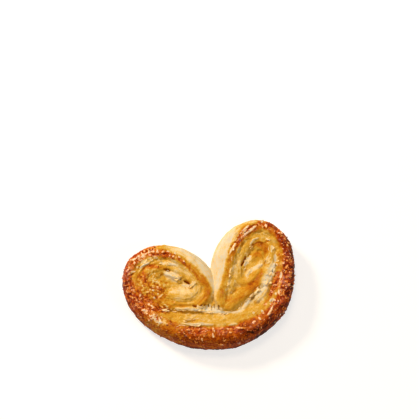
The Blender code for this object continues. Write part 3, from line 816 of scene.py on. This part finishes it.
def brown(crust):
    """Settles how dark each point has baked, once the shape is final, with painted shade in the
    hollows and painted highlights on grains, runs and glints.
    """
    points, sugar = crust.points, crust.sugar
    sunk = hollow_depth(points, HOLLOW_CELL, HOLLOW_SPREAD) * (1.0 - crust.on_wall)
    sunk = np.where(crust.normals[:, 2] > -0.2, sunk, 0.0)
    mottle = layered_noise(points / 3.4, 31, 3)
    patches = layered_noise(points / 1.4, 34, 2)
    cream_wall = pale_wall(crust, 0.3)
    calm = (1.0 - 0.7 * cream_wall) * (1.0 - 0.45 * ease(0.6, 0.9, sugar))
    bake = crust.bake + (MOTTLE_BAKE * mottle + PATCH_BAKE * patches) * calm
    bake += LAYER_BAKE * crust.layers * (1.0 - 0.7 * sugar) * (1.0 - 0.5 * cream_wall)
    # The pale flecks, partly painted highlight.
    bake += FLECK_PALE_AND_HIGHLIGHT * crust.flecks

    # Grains, runs and glints lighten their own place and darken the sugar round them: painted
    # highlights, and on the grains also partly paler sugar.
    all_sugar = sugar.sum()
    grain = crust.grain - crust.grain.sum() / all_sugar * sugar
    bake += (GRAIN_PALE_AND_HIGHLIGHT - 0.22 * crust.rim) * grain * (1.0 - 0.5 * crust.melted)
    painted_highlight = RUN_HIGHLIGHT_BAKE * crust.runs + GLINT_HIGHLIGHT_BAKE * crust.glints
    bake += painted_highlight - painted_highlight.sum() / all_sugar * sugar
    # Painted shade darkens the deep hollows; the wrinkles of the pale walls darken along their
    # lines.
    bake += HOLLOW_SHADE_BAKE * ease(2.2, 4.4, sunk) + WRINKLE_BAKE * crust.wrinkles

    # Past these two levels the browning changes only slowly.
    darkest = 0.71 + (0.07 + 0.14 * crust.on_wall) * ease(0.74, 0.90, crust.wall_bake)
    bake = np.minimum(bake, darkest + 0.3 * (bake - darkest))
    palest = 0.12 * (1.0 - crust.on_wall) * (1.0 - ease(0.5, 0.88, sugar))
    bake = np.maximum(bake, palest + 0.3 * (bake - palest))

    # Painted warm shade in the pale hollows. The walls darken towards the tray: browning at the
    # foot, partly painted shade.
    bake += HOLLOW_WARM_SHADE_BAKE * ease(0.4, 2.0, sunk) * ease(0.34, 0.14, bake) * ease(0.6, 0.3, sugar)
    foot = ease(8.0, 0.0, points[:, 2]) * crust.on_wall * ease(0.4, 0.7, crust.wall_bake)
    edge = ease(3.2, 0.2, points[:, 2] + 1.2 * mottle) * cream_wall
    bake += FOOT_BROWN_AND_SHADE_BAKE * foot + EDGE_BAKE * edge
    under = UNDERSIDE_BAKE + 0.16 * mottle + 0.08 * crust.layers
    crust.bake = bake * (1.0 - crust.on_underside) + under * crust.on_underside

    glazed = 0.10 + 0.90 * np.clip(crust.runs + crust.glints + 2.0 * crust.grain, 0.0, 1.0)
    crust.gloss = (0.08 + 0.92 * ease(0.2, 0.7, sugar) * glazed) * (1.0 - crust.on_wall)
    crust.crystals = sugar * (1.0 - 0.6 * crust.melted) * (1.0 - 0.25 * crust.on_wall)


def build_dough(sheet):
    """The whole pastry as one closed surface, shaped, roughened and marked for its colours."""
    bm = bmesh.new()
    places, index = add_sheet(bm, sheet)
    for outline in (LEFT_WRAP, RIGHT_WRAP, SEAM_WEB):
        add_slab(bm, outline)
    bmesh.ops.recalc_face_normals(bm, faces=bm.faces)
    dough = mesh_object("palmier_dough", bm)
    grow_together(dough, GRID)
    crust = Crust(dough.data, sheet, places, index)
    roughen(crust)
    write_points(dough.data, crust.points)
    crust.normals = read_vertices(dough.data, "normal")
    brown(crust)
    for name in ("bake", "sugar", "gloss", "crystals", "sheet_place"):
        give_attribute(dough.data, name, getattr(crust, name))
    dough.data.materials.append(browned_pastry())
    return dough, crust


# ---------------------------------------------------------------- materials

def colour(code):
    """An sRGB hex colour as linear red, green, blue and alpha."""
    parts = [int(code[i:i + 2], 16) / 255.0 for i in (1, 3, 5)]
    linear = [v / 12.92 if v <= 0.04045 else ((v + 0.055) / 1.055) ** 2.4 for v in parts]
    return (*linear, 1.0)


def link_inputs(tree, node, links):
    """Links the node's inputs, each to a socket or to the first output of another node."""
    for name, source in links.items():
        socket = source.outputs[0] if isinstance(source, bpy.types.Node) else source
        tree.links.new(socket, node.inputs[name])


def add_node(tree, kind, settings=None, links=None):
    """Adds a node, gives its properties or sockets their settings, and links its inputs."""
    node = tree.nodes.new("ShaderNode" + kind)
    for name, value in (settings or {}).items():
        if isinstance(name, str) and hasattr(node, name):
            setattr(node, name, value)
        else:
            node.inputs[name].default_value = value
    link_inputs(tree, node, links or {})
    return node


def colour_steps(node, steps):
    """Fills a colour ramp from (place, hex colour) pairs."""
    ramp = node.color_ramp
    while len(ramp.elements) < len(steps):
        ramp.elements.new(1.0)
    for element, (place, code) in zip(ramp.elements, steps):
        element.position = place
        element.color = colour(code)


def new_material(name, settings):
    """A material with its nodes, and its shader with the settings on its own sockets."""
    material = bpy.data.materials.new(name)
    material.use_nodes = True
    tree = material.node_tree
    tree.nodes.clear()
    shader = add_node(tree, "BsdfPrincipled", settings)
    add_node(tree, "OutputMaterial", links={"Surface": shader})
    return material, tree, shader


# From raw dough to dark crust, dry, and from clear glaze to burnt caramel, sugared.
DOUGH_COLOURS = [
    (0.00, "#DFDAC8"), (0.12, "#EBD195"), (0.26, "#DAB04A"), (0.38, "#CF9B2A"),
    (0.50, "#C57D17"), (0.62, "#B0600C"), (0.76, "#86400A"), (1.00, "#2A1204"),
]
CARAMEL_COLOURS = [
    (0.05, "#FBE4CA"), (0.20, "#F5C288"), (0.34, "#E79E40"), (0.48, "#D47812"),
    (0.62, "#BF5305"), (0.74, "#9C3002"), (0.86, "#6E1E02"), (1.00, "#2C1002"),
]


def browned_pastry():
    """Butter puff pastry baked with sugar: silky pale layers, a lacquered brown rim."""
    material, tree, shader = new_material("browned_puff_pastry", {
        "Coat Roughness": 0.08, "Coat IOR": 1.5, "IOR": 1.45, "Specular IOR Level": 0.18,
        "Specular Tint": colour("#FFC890"), "Subsurface Weight": 0.04,
        "Subsurface Radius": (1.0, 0.5, 0.2), "Subsurface Scale": 0.0010})
    place = add_node(tree, "TexCoord").outputs["Object"]
    bake, sugar, gloss, crystals = (
        add_node(tree, "Attribute", {"attribute_name": name}).outputs["Fac"]
        for name in ("bake", "sugar", "gloss", "crystals"))
    sheet = add_node(tree, "Attribute", {"attribute_name": "sheet_place"}).outputs["Vector"]

    # Freckles of caramel about 0.7 mm across, and streaks along the layers 0.3 mm apart.
    freckles = add_node(tree, "TexNoise", {"Scale": 1400.0, "Detail": 4.0, "Roughness": 0.6},
                        {"Vector": place})
    stretch = add_node(tree, "Mapping", {"Scale": (0.22, 3.0, 2.6)}, {"Vector": sheet})
    streaks = add_node(tree, "TexNoise", {"Scale": 1.0, "Detail": 3.0, "Roughness": 0.65},
                       {"Vector": stretch})

    # Grains of sugar 1 mm apart, pushed out of line by waves of 1.4 mm, each melted to its
    # own tone, and darker between them: caramel there, and partly painted shade between the grains.
    waves = add_node(tree, "TexNoise", {"Scale": 700.0}, {"Vector": place}).outputs["Color"]
    bent = add_node(tree, "VectorMath", {"operation": "MULTIPLY_ADD", 1: (0.003, 0.003, 0.003)},
                    {0: waves, 2: place})
    cells = add_node(tree, "TexVoronoi", {"Scale": 1000.0}, {"Vector": bent})
    between = add_node(tree, "MapRange", {"From Min": 0.30, "From Max": 0.70}, {"Value": cells})
    own_tone = add_node(tree, "Math", {"operation": "SUBTRACT", 0: 0.42},
                        {1: cells.outputs["Color"]})
    grain_tone = add_node(tree, "Math", {"operation": "MULTIPLY_ADD", 1: 0.20, 2: -0.06},
                          {0: between})
    grain_mix = add_node(tree, "Math", {"operation": "MULTIPLY_ADD", 1: 0.38},
                         {0: own_tone, 2: grain_tone})
    grain_level = add_node(tree, "Math", {"operation": "MULTIPLY"}, {0: grain_mix, 1: crystals})

    # One level of browning reads both ramps, and the sugar mixes their colours.
    freckled = add_node(tree, "Math", {"operation": "MULTIPLY_ADD", 1: 0.38},
                        {0: freckles, 2: bake})
    streaked = add_node(tree, "Math", {"operation": "MULTIPLY_ADD", 1: 0.36},
                        {0: streaks, 2: freckled})
    grained = add_node(tree, "Math", {"operation": "ADD"}, {0: streaked, 1: grain_level})
    level = add_node(tree, "Math", {"operation": "SUBTRACT", 1: 0.37}, {0: grained})
    dough = add_node(tree, "ValToRGB", links={"Fac": level})
    colour_steps(dough, DOUGH_COLOURS)
    caramel = add_node(tree, "ValToRGB", links={"Fac": level})
    colour_steps(caramel, CARAMEL_COLOURS)
    glazed = add_node(tree, "MapRange", {"From Min": 0.50, "From Max": 0.88}, {"Value": sugar})
    tone = add_node(tree, "MixRGB", links={"Fac": glazed, "Color1": dough, "Color2": caramel})

    # The coat follows the grains only, and the dough under it the layers and freckles too.
    grain_lift = add_node(tree, "Math", {"operation": "MULTIPLY"}, {0: cells, 1: crystals})
    grain_bump = add_node(tree, "Bump", {"Strength": 0.5, "Distance": 0.0005, "invert": True},
                          {"Height": grain_lift})
    dry = add_node(tree, "MapRange", {"To Min": 0.60, "To Max": 0.15}, {"Value": gloss})
    layer_bump = add_node(tree, "Bump", {"Distance": 0.0003},
                          {"Height": streaks, "Strength": dry, "Normal": grain_bump})
    fine_bump = add_node(tree, "Bump", {"Distance": 0.0003},
                         {"Height": freckles, "Strength": dry, "Normal": layer_bump})
    dull = add_node(tree, "MapRange", {"To Min": 0.85, "To Max": 0.30}, {"Value": gloss})
    lacquer = add_node(tree, "MapRange", {"To Min": 0.0, "To Max": 0.8}, {"Value": gloss})
    link_inputs(tree, shader, {"Base Color": tone, "Roughness": dull, "Coat Weight": lacquer,
                               "Normal": fine_bump, "Coat Normal": grain_bump})
    return material


def sugar_grain():
    """Baking sugar half melted in the oven: hard glossy grains, clear to amber."""
    material, tree, shader = new_material("caramelised_sugar_grain",
                                          {"Roughness": 0.25, "IOR": 1.54})
    melt = add_node(tree, "Attribute", {"attribute_name": "melt"}).outputs["Fac"]
    place = add_node(tree, "TexCoord").outputs["Object"]
    cloud = add_node(tree, "TexNoise", {"Scale": 2200.0, "Detail": 2.0}, {"Vector": place})
    level = add_node(tree, "Math", {"operation": "MULTIPLY_ADD", 1: 0.3}, {0: cloud, 2: melt})
    tone = add_node(tree, "ValToRGB", links={"Fac": level})
    colour_steps(tone, [(0.1, "#FFDCAE"), (0.4, "#F2A348"), (0.7, "#D2640E"), (1.0, "#8A2C04")])
    link_inputs(tree, shader, {"Base Color": tone})
    return material


def flaky_leaf():
    """Single leaves of puffed dough, dry and paper thin, each toasted to its own tone."""
    material, tree, shader = new_material("flaky_dough_leaf", {"Roughness": 0.45})
    place = add_node(tree, "TexCoord").outputs["Object"]
    toast = add_node(tree, "Attribute", {"attribute_name": "toast"}).outputs["Fac"]
    mottle = add_node(tree, "TexNoise", {"Scale": 900.0, "Detail": 3.0}, {"Vector": place})
    level = add_node(tree, "Math", {"operation": "MULTIPLY_ADD", 1: 0.5}, {0: mottle, 2: toast})
    tone = add_node(tree, "ValToRGB", links={"Fac": level})
    colour_steps(tone, [(0.2, "#FFEFC8"), (0.5, "#F8DB94"), (0.8, "#DFAA46"), (1.0, "#AC6416")])
    bump = add_node(tree, "Bump", {"Strength": 0.4, "Distance": 0.0002}, {"Height": mottle})
    link_inputs(tree, shader, {"Base Color": tone, "Normal": bump})
    return material


# ---------------------------------------------------------------- sugar and leaves

GRAIN_COUNT = 1500
GRAIN_SIZES = (0.32, 0.85)  # across, from the finest to the coarsest
FINE_GRAINS = 2.2           # the higher, the more of the grains are fine ones
GRAIN_SUNK = 0.12           # how deep a grain's middle lies, as a share of its size


def scatter_sugar(crust):
    """Grains of baking sugar stuck in the caramel, thickest where the crest is sugared."""
    rng = np.random.default_rng(7)
    facing = ease(-0.1, 0.5, crust.normals[:, 2])
    clumps = ease(-0.1, 0.6, noise(crust.points / 3.0, 51)) + 0.05
    weight = ease(0.5, 0.95, crust.sugar) * facing * clumps * (1.0 - 0.7 * crust.on_wall)
    chosen = rng.choice(len(weight), GRAIN_COUNT, replace=False, p=weight / weight.sum())
    finest, coarsest = GRAIN_SIZES
    bm = bmesh.new()
    melt = []
    for number in chosen:
        size = finest + (coarsest - finest) * rng.random() ** FINE_GRAINS
        place = Vector(crust.points[number] - crust.normals[number] * size * GRAIN_SUNK)
        place.z = min(place.z, HIGHEST - 0.5 * size)
        turn = Matrix.Rotation(rng.uniform(0, TAU), 4, Vector(rng.normal(size=3)).normalized())
        shape = Matrix.Diagonal((size * rng.uniform(1.0, 1.7), size * rng.uniform(0.5, 0.9),
                                 size * rng.uniform(0.4, 0.8), 1.0))
        bmesh.ops.create_cube(bm, size=1.0, matrix=Matrix.Translation(place) @ turn @ shape)
        clear = ease(0.6, 1.0, crust.sugar[number])
        melt += [np.clip(rng.normal(0.62 - 0.22 * clear, 0.24), 0.0, 1.0)] * 8
    loose_sugar = mesh_object("sugar_grains", bm)
    give_attribute(loose_sugar.data, "melt", np.array(melt))
    loose_sugar.data.materials.append(sugar_grain())
    return loose_sugar


LEAF_WIDTHS = (0.35, 0.95)
LEAF_TILTS = (6.0, 28.0)    # degrees
LEAF_THICKNESS = 0.10
LEAF_SUNK = 0.12            # how deep a leaf's root lies in the dough
LEAF_TOP_ROOM = 0.15        # how far below the dough's highest point a leaf's lower face stays
LEAF_STEPS = 12             # steps of the smooth curve from one place of a line to the next
TOPS_CELL = 0.5             # cell of the grid on which the dough's upper side is read

# Lines of loose leaves torn from the layers: the places a line runs through, how far to
# each side they stray, how many, how long, and their turn from the line in degrees.
LEAF_LINES = [
    ([(29.8, 6.4), (28.4, 2.2), (26.2, -1.8), (23.6, -4.8)], 2.2, 38, 1.8, 25.0),
    ([(23.6, -4.8), (21.0, -7.6), (18.0, -10.6), (14.6, -13.2)], 0.9, 13, 2.8, 6.0),
    ([(24.3, 7.1), (21.6, 5.6), (19.4, 3.7), (17.6, 0.6)], 1.0, 11, 2.0, 14.0),
    ([(20.2, 10.4), (17.6, 8.6), (16.4, 6.0)], 1.2, 6, 1.6, 20.0),
    ([(19.0, 15.2), (21.2, 18.0), (25.0, 19.4), (28.6, 18.2)], 0.9, 7, 1.7, 8.0),
    ([(28.8, 15.4), (28.4, 11.0), (26.8, 8.0)], 0.8, 7, 2.6, 8.0),
    ([(31.4, 11.6), (31.8, 8.6)], 1.4, 4, 1.4, 20.0),
    ([(-4.6, -13.8), (0.0, -14.2), (5.6, -14.4)], 0.9, 26, 1.5, 70.0),
    ([(-20.6, -14.4), (-14.0, -14.9), (-6.0, -15.0)], 0.8, 12, 2.8, 5.0),
    ([(-6.0, -15.0), (0.0, -15.9), (7.0, -16.3), (12.6, -15.2)], 0.8, 18, 2.8, 6.0),
    ([(-13.4, -22.3), (-8.0, -21.8), (-2.0, -21.9)], 0.5, 7, 3.6, 4.0),
    ([(-10.6, -19.9), (-6.0, -19.5), (-2.0, -19.8)], 0.5, 6, 3.0, 4.0),
    ([(-11.8, -3.2), (-9.6, -3.7), (-7.2, -2.9), (-6.0, -1.6)], 0.7, 11, 1.3, 25.0),
    ([(-19.4, 2.6), (-16.0, 1.4), (-13.0, 0.0)], 1.6, 6, 2.2, 12.0),
    ([(-22.6, 7.4), (-20.0, 7.5), (-17.6, 6.7)], 0.8, 6, 2.2, 8.0),
    ([(-30.6, 7.4), (-28.4, 8.5)], 0.9, 5, 1.5, 20.0),
    ([(16.8, 22.8), (13.6, 19.4), (11.0, 14.6)], 1.2, 9, 2.0, 10.0),
    ([(12.0, 12.0), (10.4, 4.0), (9.0, -3.0)], 1.4, 8, 2.0, 6.0),
    ([(-24.0, 10.0), (-27.0, 9.0)], 1.2, 6, 1.6, 14.0),
]


def top_heights(points, cell):
    """The function that reads how high the dough reaches at a place."""
    tops, low, place = highest_in_cells(points, cell, 2 * cell, 4)

    def read(x, y):
        column, row = int((x - low[0]) / cell), int((y - low[1]) / cell)
        inside = 0 <= column < tops.shape[0] and 0 <= row < tops.shape[1]
        return tops[column, row] if inside else 0.0
    return read


def add_leaf(bm, rng, middle, turn, length, height_at):
    """One thin leaf lying tilted on the dough, its free edge ragged and curled up."""
    width, tilt = rng.uniform(*LEAF_WIDTHS), math.radians(rng.uniform(*LEAF_TILTS))
    made = bmesh.ops.create_grid(bm, x_segments=5, y_segments=2, size=1.0)["verts"]
    side = rng.choice((-1.0, 1.0))
    bend, phase = rng.normal(0.0, 0.12) * length, rng.uniform(0.0, 50.0)
    c, s = math.cos(turn), math.sin(turn)
    for vert in made:
        u, v = vert.co.x, (vert.co.y + 1.0) / 2.0
        ragged = 0.22 * math.sin(5.1 * u + phase) + 0.16 * math.sin(11.3 * u + 2.0 * phase)
        reach = width * v * (math.sqrt(max(1.0 - 0.9 * u * u, 0.05)) + ragged)
        curl = tilt * (0.6 + 0.6 * v)
        along = 0.5 * length * u
        across = side * (reach * math.cos(curl) + bend * (1.0 - u * u))
        x, y = middle[0] + c * along - s * across, middle[1] + s * along + c * across
        ground = height_at(middle[0] + c * along, middle[1] + s * along)
        z = ground - LEAF_SUNK + reach * math.sin(curl) + 0.06 * math.sin(3.0 * u + phase)
        vert.co = (x, y, min(z, HIGHEST - LEAF_TOP_ROOM))
    thicken(bm, list({face for vert in made for face in vert.link_faces}), LEAF_THICKNESS)


def grow_leaves(crust):
    """All the loose leaves of dough that lie on the torn edges of the layers."""
    rng = np.random.default_rng(19)
    height_at = top_heights(crust.points, TOPS_CELL)
    bm = bmesh.new()
    toast = bm.verts.layers.float.new("toast")
    for places, stray, count, length, turn in LEAF_LINES:
        line = smooth_rows(places, LEAF_STEPS)
        for leaf in range(count):
            at = rng.uniform(0.0, len(line) - 1.001)
            start, end = line[int(at)], line[int(at) + 1]
            way = math.atan2(end[1] - start[1], end[0] - start[0])
            seen = start + (end - start) * (at % 1.0) + rng.normal(0.0, 0.5, size=2) * stray
            middle = seen
            for closer in range(4):
                middle = middle + seen - np.array(seen_from_front(*middle, height_at(*middle)))
            way += math.radians(rng.normal(0.0, 1.0) * 9.0 + turn * rng.choice((-1.0, 1.0)))
            before = len(bm.verts)
            add_leaf(bm, rng, middle, way, length * rng.uniform(0.55, 1.3), height_at)
            bm.verts.ensure_lookup_table()
            tone = rng.uniform(0.0, 0.35)
            for number in range(before, len(bm.verts)):
                bm.verts[number][toast] = tone
    bmesh.ops.recalc_face_normals(bm, faces=bm.faces)
    leaves = mesh_object("loose_leaves", bm)
    leaves.data.materials.append(flaky_leaf())
    return leaves


# ---------------------------------------------------------------- the setting

FLOOR_HALF_WIDTH = 3000.0
FLOOR_DROP = 0.02


def add_floor():
    """White paper a hair under the pastry, lit from within so that it stays pale."""
    bm = bmesh.new()
    bmesh.ops.create_grid(bm, x_segments=1, y_segments=1, size=FLOOR_HALF_WIDTH)
    bmesh.ops.translate(bm, verts=bm.verts, vec=(0.0, 0.0, -FLOOR_DROP))
    floor = mesh_object("floor", bm)
    paper = new_material("white_paper_sweep", {
        "Base Color": colour("#B4B4B4"), "Roughness": 0.75,
        "Emission Color": colour("#FFFFFF"), "Emission Strength": 0.68})
    floor.data.materials.append(paper[0])


def add_lamp(name, place, size, watts, tint):
    """A soft square lamp at a place in millimetres, aimed at the middle of the pastry."""
    light = bpy.data.lights.new(name, "AREA")
    light.size = size * MM
    light.energy = watts
    light.color = colour(tint)[:3]
    lamp = bpy.data.objects.new(name, light)
    lamp.location = Vector(place) * MM
    lamp.rotation_euler = (-Vector(place)).to_track_quat("-Z", "Y").to_euler()
    bpy.context.scene.collection.objects.link(lamp)


def light_studio():
    """A dim warm room with four soft lamps, the key behind and to the left."""
    world = bpy.data.worlds.new("studio")
    world.use_nodes = True
    back = world.node_tree.nodes["Background"]
    back.inputs["Color"].default_value = colour("#FFF0D8")
    back.inputs["Strength"].default_value = 0.09
    bpy.context.scene.world = world
    bpy.context.scene.view_settings.view_transform = "Standard"
    add_lamp("key_softbox", (-360.0, 320.0, 440.0), 120.0, 3.65, "#FFE8CC")
    add_lamp("top_softbox", (-40.0, 160.0, 620.0), 130.0, 1.1, "#FFEBD0")
    add_lamp("fill_softbox", (420.0, -260.0, 460.0), 260.0, 1.1, "#FFF0DC")
    add_lamp("back_softbox", (120.0, 620.0, 300.0), 300.0, 0.3, "#FFFFFF")


def add_camera():
    """The camera, level from left to right, looking down on the pastry from the front."""
    lens = bpy.data.cameras.new("camera")
    lens.lens = CAMERA_LENS
    lens.sensor_width = SENSOR_WIDTH
    lens.clip_start = 0.01
    camera = bpy.data.objects.new("camera", lens)
    back = Vector((0.0, -math.cos(CAMERA_RISE), math.sin(CAMERA_RISE)))
    up = Vector((0.0, math.sin(CAMERA_RISE), math.cos(CAMERA_RISE)))
    middle = (cad_low + cad_high) / 2.0 / MM
    aim = middle + Vector((AIM_ACROSS, 0.0, 0.0)) + up * AIM_UP
    camera.location = (aim + back * CAMERA_AWAY) * MM
    camera.rotation_euler = (math.pi / 2.0 - CAMERA_RISE, 0.0, 0.0)
    bpy.context.scene.collection.objects.link(camera)
    bpy.context.scene.camera = camera


def main():
    """Builds the pastry and its setting."""
    sheet = Sheet()
    dough, crust = build_dough(sheet)
    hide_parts("palmier")
    for piece in (dough, scatter_sugar(crust), grow_leaves(crust)):
        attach(piece, "root")
    add_floor()
    light_studio()
    add_camera()


main()
